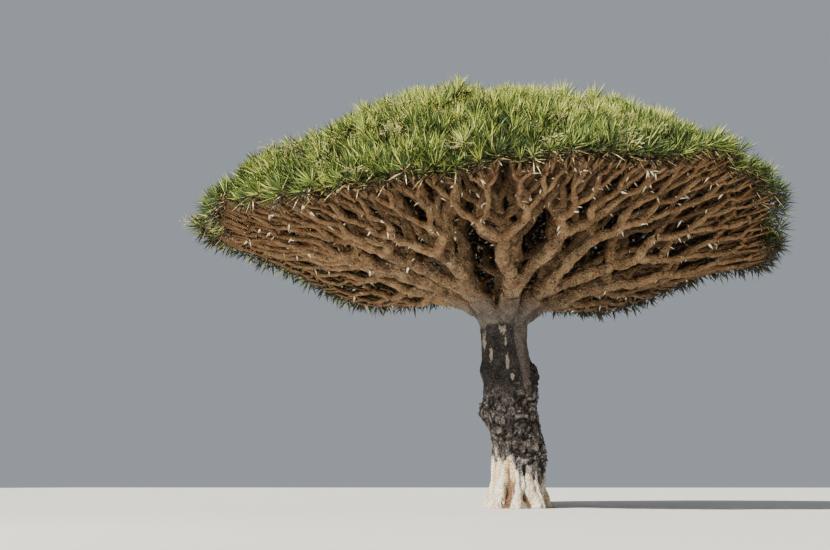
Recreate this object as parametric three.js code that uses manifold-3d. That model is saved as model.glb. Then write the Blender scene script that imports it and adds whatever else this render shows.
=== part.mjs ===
// A dragon blood tree: a stout, fluted trunk, boughs that fork again and again into an umbrella,
// and a dense dome of sword-leaf tufts. Millimetres, +Z up, the origin at the trunk's foot.
//
// Every limb follows the crown's flow: a family of lines that leave one point inside the trunk's
// head and fan out to the dome. A line is named by its share of the crown's radius and its azimuth,
// and a place on it by its progress, 0 at the head and 1 at the dome. A piece of the crown is a cell
// of that family. A cell forks into two across its longer side, and each half forks in turn.

import * as THREE from "three";
import { mergeVertices } from "three/addons/utils/BufferGeometryUtils.js";
import Module from "manifold-3d";

const wasm = await Module();
wasm.setup();

// Driving dimensions of the crown
const CROWN_RADIUS = 4500; // from the head to the twig tips at the rim
const RIM_HEIGHT = 4110; // of the twig tips at the rim
const CROWN_RISE = 2245; // from the rim to the topmost twig tips
const DOME_POWER = 2.1; // how square the dome's shoulder is
const SHOULDER_TILT = -150; // how much higher that shoulder is towards +X
const LEAF_REACH = 260; // of the leaves past the twig tips
const HEAD = new THREE.Vector3(-200, 0, 2650); // where all flow lines meet, inside the trunk
const RIM_ARCH = 0.34; // how far the low limbs arch, against straight ones

// The rim's unevenness: amplitudes of sine and cosine of 1, 2 and more times the azimuth
const REACH_WAVES = [[-0.029, 0.011], [-0.048, -0.008]];
const HEIGHT_WAVES = [[77, 227], [174, -95], [127, -92], [9, -14], [-83, -44], [49, 84]];

// How the crown is divided
const SECTORS = 7;
const SECTOR_START = THREE.MathUtils.degToRad(-12);
const SECTOR_JITTER = 0.07;
const CENTRE_SHARE = 0.25; // of the radius, to the edge of the middle mass
const MIDDLE_SHARE = 0.62; // to the edge of the masses round it
const CLEARANCE = 0.34; // between limbs that meet
const STEM_GAP = 0.4; // between a bough's tip and its mass's stem
const SPACE_MARGIN = 20; // from a mass's core to the edge of its space
const TWIG_MARGIN = 8; // from its leaves and twigs to that edge
const SLOPE_MARGIN = 1.4; // how much more height a margin takes on a sloping edge

// The forking rule
const TWIG_CELL = 860; // a cell smaller than this has one twig
const TIP_CELL = 250; // the share of the dome that one real twig tip covers
const TIP_RADIUS = 26; // of a real twig
const THICKENING = 2 / 3; // a limb's radius grows with its cell by this power
const LAST_FORK = 0.87; // progress at which a cell of FORK_CELL forks
const FORK_CELL = 340;
const FORK_STEP = 0.18; // less progress for each doubling of the cell
const HEAD_START = 0.02;
const FIRST_FORK = 0.165; // where a main bough ends
const STEM_SIDES = 5;
const STEM_LEAD = 60; // how far a mass's stem runs straight on from its bough
const MASS_START = 0.4; // where a mass's stem takes over from its bough
const LIMB_BIAS = 0.24; // how far a large cell's limb keeps to the cell's outer, lower side
const BIASED_CELL = 1600; // the cell with that whole bias
const CUT_JITTER = 0.12; // how unevenly a cell forks, as a share of it
const LIFT_JITTER = 0.00003; // how unevenly its halves stand, in progress for each millimetre
const MASS_LIFT = 0.045; // how unevenly the masses stand, in progress
const MOST_LIFT = 0.03; // how much higher a cell stands at most, in progress
const PARTING_JITTER = 0.05; // between two neighbouring outer masses, in radians

// Radii of the main boughs, and how the next boughs taper against their tips
const MAIN_RADII = [185, 165, 150];
const MIDDLE_SWELL = 1.35;
const FORK_SHARE = 0.86; // of its parent's radius that a bough starts with at most
const BOUGH_SWELL = 1.25; // and of its tip's
const BOUGH_WAIST = 1.08; // of its tip's radius, half way
const BOUGH_SIDES = 6;
const BOUGH_STEPS = 3;

// The foliage
const CORE_FROM = 0.925; // progress of the core's inner face at the rim
const CORE_TO = 0.99; // and of its outer face
const CORE_SINK = 0.03; // how much less progress they have at the crown's middle
const CORE_RIM = 1.012; // share of the radius that the core reaches at the rim
const TWIG_END = 0.943; // progress at which a twig ends inside the core
const CORE_SHOULDER = 0.022; // how far the outer face falls away at its edges, in progress
const CORE_LUMPS = 0.02; // how unevenly it stands, in progress
const CORE_CELLS = 3; // faces along each side
const WHOLE_CORE_SIDES = 14;
const LEAVES_A_TUFT = 3;
const LEAF_LENGTH = 600;
const LEAF_WIDTH = 190;
const LEAF_THICKNESS = 16;
const LEAF_WIDEST = 0.36; // share of its length at which a leaf is widest
const LEAF_SUNK = 0.92; // share of a leaf's length that a tuft's reach counts
const LEAF_APART = 0.55; // of a tuft's leaves at their roots, in widths
const TUFT_RISE = 0.55; // how much a tuft turns up from its twig
const LEAF_SPREAD = THREE.MathUtils.degToRad(52);
const LEAF_SPREAD_JITTER = 0.45;
const SMALLEST_DETAIL = 4; // slivers left where leaves join the core are evened out below this
const SMALLEST_EDGE = 0.05; // and below this where a piece is cut clear of a limb

// The trunk: height, sideways shift and radius up its middle line
const TRUNK_LINE = [
  [0, 0, 500], [120, 5, 452], [250, 8, 415], [420, 5, 392], [650, 20, 388], [900, 18, 392],
  [1150, -25, 398], [1350, -75, 402], [1600, -100, 400], [1850, -104, 394], [2080, -118, 378],
  [2280, -158, 362], [2570, -172, 358], [2780, -180, 372], [2940, -195, 388], [3030, -200, 330],
];
const TRUNK_SIDES = 24;
const ROOT_RIDGES = 7;
const ROOT_RIDGE_DEPTH = 62;
const ROOT_RIDGE_HEIGHT = 420;
const ROOT_RIDGE_WANDER = 0.9; // how unevenly the ridges are spaced, in radians
const ROOT_RIDGE_TWIST = 1 / 900; // radians a millimetre
const TRUNK_UNEVENNESS = 10;
const TRUNK_UNEVEN_TWIST = 1 / 310;
// Burls and swellings: azimuth in degrees, height, size and how far each stands out
const BURLS = [
  [-92, 1440, 150, 120], [-80, 2090, 120, 60], [88, 2060, 190, 105], [84, 1720, 170, 45],
  [75, 830, 220, 38], [-40, 1180, 190, 30], [20, 1560, 230, 34], [165, 1250, 210, 60],
];

const BARK = new THREE.MeshStandardMaterial({ color: 0x9c8467, roughness: 0.95, metalness: 0 });
const SCARRED_BARK = new THREE.MeshStandardMaterial({ color: 0x6d6660, roughness: 0.95, metalness: 0 });
const FOLIAGE = new THREE.MeshStandardMaterial({ color: 0x6f8a3c, roughness: 0.7, metalness: 0 });

// The same number between 0 and 1 for the same seed
function chance(...seeds) {
  const mixed = seeds.reduce((sum, seed, i) => sum + seed * (12.9898 + 31.731 * i), 4.137);
  const wave = Math.sin(mixed) * 43758.5453;
  return wave - Math.floor(wave);
}

const waves = (amplitudes, azimuth) =>
  amplitudes.reduce(
    (sum, [sine, cosine], i) =>
      sum + sine * Math.sin((i + 1) * azimuth) + cosine * Math.cos((i + 1) * azimuth),
    0,
  );

// A place on the flow. Azimuth 0 is towards -Y, and grows towards +X.
function flow(share, azimuth, progress) {
  const run = CROWN_RADIUS * share * (1 + waves(REACH_WAVES, azimuth) * share);
  const dome = Math.pow(Math.max(0, 1 - share * share), DOME_POWER / 2);
  const shoulder = 4 * share * share * (1 - share * share) * SHOULDER_TILT * Math.sin(azimuth);
  const uneven = waves(HEIGHT_WAVES, azimuth) * share * share + shoulder;
  const top = RIM_HEIGHT + CROWN_RISE * dome + uneven;
  const arch = Math.pow(progress, 1 - RIM_ARCH * share * share);
  return new THREE.Vector3(
    HEAD.x + run * progress * Math.sin(azimuth),
    HEAD.y - run * progress * Math.cos(azimuth),
    HEAD.z + (top - HEAD.z) * arch,
  );
}

// Height of the surface made by all flow lines of one share, over a place at this azimuth and run
function flowHeight(share, azimuth, run) {
  const whole = CROWN_RADIUS * share * (1 + waves(REACH_WAVES, azimuth) * share);
  return flow(share, azimuth, run / whole).z;
}

// Whether a point lies in a cell's space, at least margin from its edges
function inSpace(cell, point, margin) {
  const x = point.x - HEAD.x;
  const y = -(point.y - HEAD.y);
  const run = Math.hypot(x, y);
  const azimuth = Math.atan2(x, y);
  if (!cell.whole) {
    const turn = (edge) => Math.sin(azimuth - edge) * run;
    if (turn(cell.from) < margin || turn(cell.to) > -margin) return false;
  }
  const height = margin * SLOPE_MARGIN;
  if (cell.inner > 0 && point.z > flowHeight(cell.inner, azimuth, run) - height) return false;
  return cell.outer === 1 || point.z > flowHeight(cell.outer, azimuth, run) + height;
}

// A cell's extent over the dome: across its shares, across its azimuths, and the two together
function extent(cell) {
  const share = (cell.inner + cell.outer) / 2;
  const azimuth = (cell.from + cell.to) / 2;
  const deep = flow(cell.inner, azimuth, 1).distanceTo(flow(cell.outer, azimuth, 1));
  const wide = CROWN_RADIUS * share * (cell.to - cell.from);
  return { deep, wide, size: Math.sqrt(deep * wide) };
}

// A large cell's limb runs along its outer, lower side. Its halves leave that limb upwards.
function place(cell, progress) {
  const size = extent(cell).size;
  const bias = cell.whole ? -0.5 : LIMB_BIAS * Math.min(1, Math.max(0, (size - TIP_CELL) / BIASED_CELL));
  const share = cell.inner + (cell.outer - cell.inner) * (0.5 + bias);
  return flow(share, (cell.from + cell.to) / 2, progress * (1 + cell.lift));
}

const limbRadius = (cell) => TIP_RADIUS * Math.pow(extent(cell).size / TIP_CELL, THICKENING);
const forkProgress = (cell) => LAST_FORK - FORK_STEP * Math.log2(extent(cell).size / FORK_CELL);

// Two halves, the one that carries the limb on first
function split(cell) {
  const { deep, wide, size } = extent(cell);
  const cut = 0.5 + CUT_JITTER * (chance(cell.seed, cell.path, 1) - 0.5);
  const raised = (side) => LIFT_JITTER * size * (chance(cell.seed, cell.path, 2 + side) - 0.5);
  const half = (side, edges) => ({
    ...cell, ...edges, whole: false, path: 2 * cell.path + side,
    lift: Math.min(MOST_LIFT, cell.lift + raised(side)),
  });
  if (deep > wide && !cell.whole) {
    const share = cell.inner + (cell.outer - cell.inner) * cut;
    return [half(0, { inner: share }), half(1, { outer: share })];
  }
  const azimuth = cell.from + (cell.to - cell.from) * cut;
  const halves = [half(0, { to: azimuth }), half(1, { from: azimuth })];
  return chance(cell.seed, cell.path, 4) < 0.5 ? halves : halves.reverse();
}

// A geometry with each vertex moved, as a solid that faces out
function solidFrom(geometry, move) {
  const position = geometry.getAttribute("position");
  const vertex = new THREE.Vector3();
  for (let i = 0; i < position.count; i++) {
    vertex.fromBufferAttribute(position, i);
    const moved = move(vertex);
    position.setXYZ(i, moved.x, moved.y, moved.z);
  }
  geometry.deleteAttribute("normal");
  geometry.deleteAttribute("uv");
  const merged = mergeVertices(geometry, 1e-3);
  return manifoldOf(merged.attributes.position.array, merged.index.array);
}

const manifoldOf = (places, faces) =>
  new wasm.Manifold(
    new wasm.Mesh({
      numProp: 3,
      vertProperties: new Float32Array(places),
      triVerts: new Uint32Array(faces),
    }),
  );

// Faces between two rings of corners, which run the same way round
function band(lower, upper, faces) {
  const apart = (turn) => lower[0].place.distanceTo(upper[turn].place);
  const nearest = upper.reduce((best, _, turn) => (apart(turn) < apart(best) ? turn : best), 0);
  const from = (i) => lower[i % lower.length];
  const to = (j) => upper[(nearest + j) % upper.length];
  for (let i = 0, j = 0; i < lower.length || j < upper.length; ) {
    if ((i + 1) / lower.length < (j + 1) / upper.length) {
      faces.push(from(i).index, from(i + 1).index, to(j).index);
      i++;
    } else {
      faces.push(from(i).index, to(j + 1).index, to(j).index);
      j++;
    }
  }
}

// A cell's limb and all it forks into, as one skin. A limb ends in four corners round its fork, and
// each half starts from three of them. A last twig ends in three corners inside the core.
function grow(cell, start, skin) {
  const { corners, faces, tips } = skin;
  const corner = (centre, along, across) => {
    const added = { place: centre.clone().addScaledVector(along, across), index: corners.length };
    corners.push(added);
    return added;
  };
  const last = extent(cell).size < TWIG_CELL;
  const end = place(cell, last ? TWIG_END : forkProgress(cell));
  const centre = new THREE.Vector3();
  for (const each of start) centre.addScaledVector(each.place, 1 / start.length);
  const heading = end.clone().sub(centre).normalize();
  const halves = last ? [] : split(cell);
  const parting = halves.map((half) => place(half, forkProgress(half)));
  const [towards, away] = last ? [start[0].place, centre] : parting;
  const across = towards.clone().sub(away).projectOnPlane(heading).normalize();
  const beside = heading.clone().cross(across);
  const radius = limbRadius(cell);
  if (last) {
    const ring = [0, 1, 2].map((i) => {
      const turn = (i * 2 * Math.PI) / 3;
      const out = across.clone().multiplyScalar(Math.cos(turn)).addScaledVector(beside, Math.sin(turn));
      return corner(end, out, radius);
    });
    band(start, ring, faces);
    faces.push(ring[0].index, ring[1].index, ring[2].index);
    tips.push({ cell, point: place(cell, 1) });
    return;
  }
  const near = corner(end, across, radius);
  const left = corner(end, beside, radius);
  const far = corner(end, across, -radius);
  const right = corner(end, beside, -radius);
  band(start, [near, left, far, right], faces);
  grow(halves[0], [right, near, left], skin);
  grow(halves[1], [left, far, right], skin);
}

// A tapering limb through a chain of places, with flat ends
function limb(chain, { sides, steps, swell = 0 }) {
  const curve = new THREE.CatmullRomCurve3(chain.map((link) => link.point), false, "centripetal");
  const frames = curve.computeFrenetFrames(steps, false);
  const last = chain.length - 1;
  return solidFrom(new THREE.CylinderGeometry(1, 1, 1, sides, steps), ({ x, y, z }) => {
    const step = Math.round((y + 0.5) * steps);
    const along = step / steps;
    const link = Math.min(last - 1, Math.floor(along * last));
    const share = along * last - link;
    const radius = chain[link].radius * (1 - share) + chain[link + 1].radius * share + swell;
    const end = (step === steps) - (step === 0);
    return curve.getPoint(along)
      .addScaledVector(frames.tangents[step], end * swell)
      .addScaledVector(frames.normals[step], z * radius)
      .addScaledVector(frames.binormals[step], x * radius);
  });
}

// A blade of 8 faces from its root, widest near the root
function leaf(root, direction, flat) {
  const side = new THREE.Vector3().crossVectors(direction, flat).normalize();
  const face = new THREE.Vector3().crossVectors(side, direction).normalize();
  return solidFrom(new THREE.OctahedronGeometry(1), ({ x, y, z }) =>
    root.clone()
      .addScaledVector(direction, LEAF_LENGTH * (y < 0 ? 0 : y > 0.5 ? 1 : LEAF_WIDEST))
      .addScaledVector(side, (x * LEAF_WIDTH) / 2)
      .addScaledVector(face, (z * LEAF_THICKNESS) / 2),
  );
}

// The way a tuft stands: along its twig, turned up
function tuftAxis(cell) {
  const along = place(cell, 1).sub(place(cell, 0.95)).normalize();
  return along.add(new THREE.Vector3(0, 0, TUFT_RISE)).normalize();
}

// The leaves of one tuft that stay in their mass's space
function tuft(mass, tip) {
  const axis = tuftAxis(tip.cell);
  const out = new THREE.Vector3(axis.y, -axis.x, 0.01).normalize();
  const root = tip.point.clone().addScaledVector(axis, LEAF_REACH - LEAF_LENGTH * LEAF_SUNK);
  const turned = chance(tip.cell.seed, tip.cell.path, 6) * Math.PI;
  const leaves = [];
  for (let i = 0; i < LEAVES_A_TUFT; i++) {
    const turn = turned + (i * 2 * Math.PI) / LEAVES_A_TUFT;
    const lean = LEAF_SPREAD * (1 - LEAF_SPREAD_JITTER * chance(tip.cell.seed, tip.cell.path, 7 + i));
    const hinge = out.clone().applyAxisAngle(axis, turn);
    const direction = axis.clone().applyAxisAngle(hinge, lean);
    const aside = hinge.clone().cross(axis);
    const foot = root.clone().addScaledVector(aside, LEAF_WIDTH * LEAF_APART);
    const reach = foot.clone().addScaledVector(direction, LEAF_LENGTH);
    const inside = [foot, reach].every((point) => inSpace(mass, point, LEAF_WIDTH / 2 + TWIG_MARGIN));
    if (inside) leaves.push(leaf(foot, direction, hinge.cross(direction)));
  }
  return leaves;
}

// The dense inside of a mass: its cell between two stages of the flow, like a thick cushion
function core(cell) {
  const stage = (share, top, x, y) => {
    const lump = CORE_LUMPS * (chance(cell.seed, 11 + 3 * x + 9 * y) - 0.5);
    const shoulder = Math.max(Math.abs(x), Math.abs(y)) > 0.49 ? CORE_SHOULDER : 0;
    const progress = top ? CORE_TO + lump - shoulder : CORE_FROM + lump;
    return (progress - CORE_SINK * (1 - share)) * (1 + cell.lift);
  };
  if (cell.whole) {
    const disc = new THREE.CylinderGeometry(1, 1, 1, WHOLE_CORE_SIDES, 1);
    const reach = cell.outer - SPACE_MARGIN / CROWN_RADIUS;
    return solidFrom(disc, ({ x, y, z }) => {
      const share = Math.hypot(x, z) * reach;
      return flow(share, Math.atan2(x, z), stage(share, y > 0, Math.hypot(x, z) / 2, 0));
    });
  }
  const inner = cell.inner + SPACE_MARGIN / CROWN_RADIUS;
  const outer = cell.outer === 1 ? CORE_RIM : cell.outer - SPACE_MARGIN / CROWN_RADIUS;
  const block = new THREE.BoxGeometry(1, 1, 1, CORE_CELLS, CORE_CELLS, 1);
  return solidFrom(block, ({ x, y, z }) => {
    const share = inner + (outer - inner) * (x + 0.5);
    const inset = SPACE_MARGIN / (CROWN_RADIUS * share);
    const azimuth = cell.from + inset + (cell.to - cell.from - 2 * inset) * (y + 0.5);
    return flow(share, azimuth, stage(share, z > 0, x, y));
  });
}

const standing = []; // each limb so far, swollen by the clearance

const clearOfLimbs = (solid) =>
  standing.reduce((left, other) => left.subtract(other), solid).simplify(SMALLEST_EDGE);

const largest = (solid) =>
  solid.decompose().reduce((best, body) => (body.volume() > best.volume() ? body : best));

// A mass: the stem that takes over from the bough, its twigs, the core and the tufts on it
function massSolid(cell, start, heading) {
  const skin = { corners: [], faces: [], tips: [] };
  const azimuth = (cell.from + cell.to) / 2;
  const side = new THREE.Vector3(Math.cos(azimuth), Math.sin(azimuth), 0);
  const up = heading.clone().cross(side);
  const rings = [STEM_GAP, STEM_LEAD].map((ahead) =>
    Array.from({ length: STEM_SIDES }, (_, i) => {
      const turn = (i * 2 * Math.PI) / STEM_SIDES;
      const corner = start.point.clone().addScaledVector(heading, ahead)
        .addScaledVector(side, start.radius * Math.cos(turn))
        .addScaledVector(up, start.radius * Math.sin(turn));
      skin.corners.push({ place: corner, index: skin.corners.length });
      return skin.corners.at(-1);
    }),
  );
  for (let i = 2; i < STEM_SIDES; i++) {
    skin.faces.push(rings[0][0].index, rings[0][i].index, rings[0][i - 1].index);
  }
  band(rings[0], rings[1], skin.faces);
  grow(cell, rings[1], skin);
  const twigs = manifoldOf(skin.corners.flatMap((each) => each.place.toArray()), skin.faces);
  const leaves = skin.tips.flatMap((tip) => tuft(cell, tip));
  const whole = wasm.Manifold.union([twigs, core(cell), ...leaves]).simplify(SMALLEST_DETAIL);
  return largest(clearOfLimbs(whole));
}

// The trunk's radius in one direction, with root ridges, burls and a little unevenness
function trunkRadius(base, azimuth, height) {
  const low = Math.exp(-height / ROOT_RIDGE_HEIGHT);
  const wander = ROOT_RIDGE_WANDER * Math.sin(azimuth) + height * ROOT_RIDGE_TWIST;
  const uneven = TRUNK_UNEVENNESS * Math.sin(3 * azimuth + height * TRUNK_UNEVEN_TWIST);
  let radius = base + ROOT_RIDGE_DEPTH * low * Math.cos(ROOT_RIDGES * azimuth + wander) + uneven;
  for (const [degrees, at, size, stands] of BURLS) {
    const round = azimuth - THREE.MathUtils.degToRad(degrees);
    const across = Math.atan2(Math.sin(round), Math.cos(round)) * base;
    radius += stands * Math.exp(-(across ** 2 + (height - at) ** 2) / (size * size));
  }
  return radius;
}

function trunkSolid(swell) {
  const rings = TRUNK_LINE.length - 1;
  return solidFrom(new THREE.CylinderGeometry(1, 1, 1, TRUNK_SIDES, rings), ({ x, y, z }) => {
    const [height, shift, base] = TRUNK_LINE[Math.round((y + 0.5) * rings)];
    const azimuth = Math.atan2(x, z);
    const radius = Math.hypot(x, z) > 0.5 ? trunkRadius(base, azimuth, height) + swell : 0;
    return new THREE.Vector3(
      shift + radius * Math.sin(azimuth),
      -radius * Math.cos(azimuth),
      height + (y > 0.49 ? swell : 0),
    );
  });
}

const tree = new THREE.Group();

function addMesh(name, solid, material) {
  const { vertProperties, triVerts } = solid.getMesh();
  const geometry = new THREE.BufferGeometry();
  geometry.setAttribute("position", new THREE.BufferAttribute(new Float32Array(vertProperties), 3));
  geometry.setIndex(new THREE.BufferAttribute(new Uint32Array(triVerts), 1));
  geometry.computeVertexNormals();
  const mesh = new THREE.Mesh(geometry, material);
  mesh.name = name;
  tree.add(mesh);
}

// A bough, cut clear of every limb that stands already
function addBough(name, chain) {
  const shape = { sides: BOUGH_SIDES, steps: BOUGH_STEPS };
  addMesh(name, largest(clearOfLimbs(limb(chain, shape))), BARK);
  standing.push(limb(chain, { ...shape, swell: CLEARANCE }));
}

// A bough from its parent's fork along its own cell's flow, with the mass at its tip
function addBoughAndMass(name, cell, fork, from) {
  const tip = { point: place(cell, MASS_START), radius: limbRadius(cell) };
  const before = place(cell, MASS_START - 0.01);
  const chain = [
    { point: fork.point, radius: Math.min(fork.radius * FORK_SHARE, tip.radius * BOUGH_SWELL) },
    { point: place(cell, (from + MASS_START) / 2), radius: tip.radius * BOUGH_WAIST },
    { point: before, radius: tip.radius },
    tip,
  ];
  addBough(name.replace("mass", "bough"), chain);
  const heading = tip.point.clone().sub(before).normalize();
  addMesh(name, massSolid(cell, tip, heading), FOLIAGE);
}

function sectorEdge(i) {
  const shift = SECTOR_JITTER * (chance((i + SECTORS) % SECTORS, 5) - 0.5) * 2;
  return SECTOR_START + (i * 2 * Math.PI) / SECTORS + shift;
}

addMesh("trunk", trunkSolid(0), SCARRED_BARK);
standing.push(trunkSolid(CLEARANCE));

// The middle of the crown: one upright bough and its mass
const middle = {
  inner: 0, outer: CENTRE_SHARE, from: SECTOR_START, to: SECTOR_START + 2 * Math.PI,
  whole: true, seed: 1, path: 1, lift: 0,
};
const headLink = { point: flow(0, 0, HEAD_START), radius: limbRadius(middle) * MIDDLE_SWELL };
addBoughAndMass("middle_mass", middle, headLink, HEAD_START);

// Round it, in each sector: a main bough that forks into one inner and two outer boughs
for (let i = 0; i < SECTORS; i++) {
  const sector = {
    inner: CENTRE_SHARE, outer: 1, from: sectorEdge(i), to: sectorEdge(i + 1),
    whole: false, seed: 2 + 3 * i, path: 1, lift: 0,
  };
  const main = [HEAD_START, FIRST_FORK / 2, FIRST_FORK].map((progress, step) => ({
    point: place(sector, progress),
    radius: MAIN_RADII[step],
  }));
  const fork = main.at(-1);
  addBough(`main_bough_${i + 1}`, main);
  const parting = (sector.from + sector.to) / 2 + PARTING_JITTER * (chance(sector.seed, 9) - 0.5);
  const lift = (side) => MASS_LIFT * (chance(sector.seed, 10 + side) - 0.5);
  const cells = {
    inner_mass: { inner: CENTRE_SHARE, outer: MIDDLE_SHARE },
    outer_mass_a: { inner: MIDDLE_SHARE, to: parting },
    outer_mass_b: { inner: MIDDLE_SHARE, from: parting },
  };
  Object.entries(cells).forEach(([name, edges], side) => {
    const cell = { ...sector, ...edges, seed: sector.seed + side, lift: lift(side) };
    const numbered = name.replace("mass", `mass_${i + 1}`);
    addBoughAndMass(numbered, cell, fork, FIRST_FORK);
  });
}

export default tree;
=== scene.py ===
"""The looks of the dragon blood tree: bark relief on its trunk and boughs, and a crown that the
source's forking rule carries on to every twig, with a rosette of sword leaves on each."""

import math
from dataclasses import dataclass, replace

import bpy
import numpy as np
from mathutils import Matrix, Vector, noise


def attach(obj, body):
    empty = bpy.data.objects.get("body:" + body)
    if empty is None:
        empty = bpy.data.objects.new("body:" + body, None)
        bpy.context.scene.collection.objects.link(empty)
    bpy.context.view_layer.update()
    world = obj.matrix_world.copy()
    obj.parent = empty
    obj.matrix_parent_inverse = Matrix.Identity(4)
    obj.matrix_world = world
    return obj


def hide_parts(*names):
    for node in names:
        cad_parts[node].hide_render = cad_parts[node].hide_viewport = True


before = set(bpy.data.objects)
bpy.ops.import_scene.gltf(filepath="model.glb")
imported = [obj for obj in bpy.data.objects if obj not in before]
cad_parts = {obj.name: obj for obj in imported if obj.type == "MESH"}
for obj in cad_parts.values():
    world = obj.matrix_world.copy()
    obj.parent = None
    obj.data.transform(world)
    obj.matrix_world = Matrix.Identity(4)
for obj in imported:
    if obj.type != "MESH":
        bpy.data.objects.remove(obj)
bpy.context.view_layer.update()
MASS_NODES = [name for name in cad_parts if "mass" in name]
MAIN_NODES = [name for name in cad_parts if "main_bough" in name]
BOUGH_NODES = [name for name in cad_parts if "bough" in name and name not in MAIN_NODES]

# The crown's driving dimensions, as in the source, in metres
CROWN_RADIUS = 4.5
RIM_HEIGHT = 4.11
CROWN_RISE = 2.245
DOME_POWER = 2.1
SHOULDER_TILT = -0.15
HEAD = np.array([-0.2, 0.0, 2.65])
RIM_ARCH = 0.34
REACH_WAVES = [(-0.029, 0.011), (-0.048, -0.008)]
HEIGHT_WAVES = [
    (0.077, 0.227), (0.174, -0.095), (0.127, -0.092), (0.009, -0.014), (-0.083, -0.044), (0.049, 0.084),
]

# How the crown is divided, as in the source
SECTORS = 7
SECTOR_START = math.radians(-12)
SECTOR_JITTER = 0.07
CENTRE_SHARE = 0.25
MIDDLE_SHARE = 0.62
TIP_CELL = 0.25
TIP_RADIUS = 0.026
THICKENING = 2 / 3
LAST_FORK = 0.87
FORK_CELL = 0.34
FORK_STEP = 0.18
HEAD_START = 0.02
FIRST_FORK = 0.165
MASS_START = 0.4
LIMB_BIAS = 0.24
BIASED_CELL = 1.6
CUT_JITTER = 0.12
LIFT_JITTER = 0.03
MASS_LIFT = 0.045
MOST_LIFT = 0.03
PARTING_JITTER = 0.05
MAIN_RADIUS = 0.185
MAIN_END_RADIUS = 0.15
MIDDLE_SWELL = 1.35
FORK_SHARE = 0.86
BOUGH_SWELL = 1.25

# The trunk, as in the source
TRUNK_LINE = np.array([
    [0, 0, 0.500], [0.12, 0.005, 0.452], [0.25, 0.008, 0.415], [0.42, 0.005, 0.392],
    [0.65, 0.020, 0.388], [0.90, 0.018, 0.392], [1.15, -0.025, 0.398], [1.35, -0.075, 0.402],
    [1.60, -0.100, 0.400], [1.85, -0.104, 0.394], [2.08, -0.118, 0.378], [2.28, -0.158, 0.362],
    [2.57, -0.172, 0.358], [2.78, -0.180, 0.372], [2.94, -0.195, 0.388], [3.03, -0.200, 0.330],
])
ROOT_RIDGES = 7
ROOT_RIDGE_DEPTH = 0.062
ROOT_RIDGE_HEIGHT = 0.42
ROOT_RIDGE_WANDER = 0.9
ROOT_RIDGE_TWIST = 1 / 0.9
TRUNK_LOBES = 3
TRUNK_UNEVENNESS = 0.01
TRUNK_UNEVEN_HEIGHT = 0.31
BURLS = [
    (-92, 1.44, 0.15, 0.12), (-80, 2.09, 0.12, 0.06), (88, 2.06, 0.19, 0.105), (84, 1.72, 0.17, 0.045),
    (75, 0.83, 0.22, 0.038), (-40, 1.18, 0.19, 0.03), (20, 1.56, 0.23, 0.034), (165, 1.25, 0.21, 0.06),
]

# The trunk's finer shape
TRUNK_SIDES = 96
TRUNK_RINGS = 150
FINE_RIDGES = 17  # between the root ridges
FINE_RIDGE_DEPTH = 0.016
FINE_RIDGE_WANDER = 2.3
FINE_RIDGE_TWIST = 2.1  # radians a metre
GROUND_FADE = 0.05  # height over which bark relief fades in
GROUND_SNAP = 0.012  # below this the foot lies on the ground

# How the wood's skins are fused
SMOOTHING = 0.5
TRUNK_VOXEL = 0.018
TRUNK_ROUNDS = 14  # of smoothing
BOUGH_VOXEL = 0.026
BOUGH_ROUNDS = 3
MAIN_SIDES = 16
BOUGH_SIDES = 14
BOUGH_RINGS = 9
HEAVY_RINGS = 7

# Bark relief: its height in metres, and each pattern's scale along x, y and z
TRUNK_RELIEF = 0.042
BOUGH_RELIEF = 0.02
ROUGHNESS_FALL = 0.8
FURROW_SCALE = (9, 9, 1.3)
FURROW_WEIGHT = 1.3
KNOB_SCALE = (7, 7, 6)
KNOB_WARP = 5
KNOB_WEIGHTS = (0.9, 0.9)  # of lumps, and of the gaps between them
KNOB_LEVEL = -0.4
KNOB_GAP = 0.3
SMALL_KNOBS = 2.3  # times the scale of the knobs
SMALL_WEIGHTS = (0.5, 0.6)
GRAIN = 2.4  # times that scale
GRAIN_WEIGHT = 0.4
NECK_SCALE = (8, 8, 5)
NECK_WEIGHT = 0.3
BOUGH_SCALE = (9, 9, 9)
BOUGH_WEIGHT = 0.9
BOUGH_LEVEL = -0.2
PIT_SCALE = 8
PIT_WEIGHT = 0.5
PIT_SIZE = 0.5
EDGE_SCALE = (3, 3, 1.5)  # of the ragged edges between the trunk's zones
EDGE_DEPTH = 0.35
FOOT_TILT = 0.4  # how much lower the foot's upper edge is on the right
FOOT_RELIEF_EDGE = (0.55, 0.75)  # the heights between which furrows give way to knobs
NECK_RELIEF_EDGE = (1.7, 2.0)
NECK_TILT = 3
NECK_TILT_START = 0.13

# How the finer limbs run
LAST_CELL = 0.18  # a cell smaller than this ends in a rosette
LAST_START = 0.895  # progress at which the last twigs start at most
EARLY_TURN = 1.7  # how early a limb leaves its parent's line
SLENDER = 0.88  # a slender limb's share of the solids' stout ones
STOUT_RADIUS = (0.05, 0.1)  # where a limb starts to be stout, and how much more until it is
BARK = 0.003
LIMB_DIP = 0.07  # how far the outer limbs sag before they turn up
DIP_PROGRESS = (0.3, 0.7)  # where the dip starts, and how long it is
DIP_LATENESS = 1.6
BOWS = (2.6, 1.3, 0.06)  # long bends: their scale, share of the radius, and most metres
CROOKS = (8.0, 0.7, 0.03)  # short bends, likewise
DEEP_PROGRESS = (0.5, 0.25)  # where limbs start to lie deep in the crown, and how much until they do
OPEN_SHARE = 0.93  # of the crown's radius, beyond which no limb lies deep
OPEN_WIDTH = 0.25
KNOTS = 3  # along a heavy limb
KNOT_SWELL = 0.07
JOINT_WAIST = 0.9  # share of its radius at the ends of a finer limb
JOINT_SWELL = 0.2
JOINT_FULLNESS = 0.8
JOINT_JITTER = 0.1

# Which limbs go to which piece
MAIN_END = FIRST_FORK * 1.2  # a main bough ends before this progress
HEAVY_RADIUS = 0.078  # a thicker limb is part of the boughs
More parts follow.
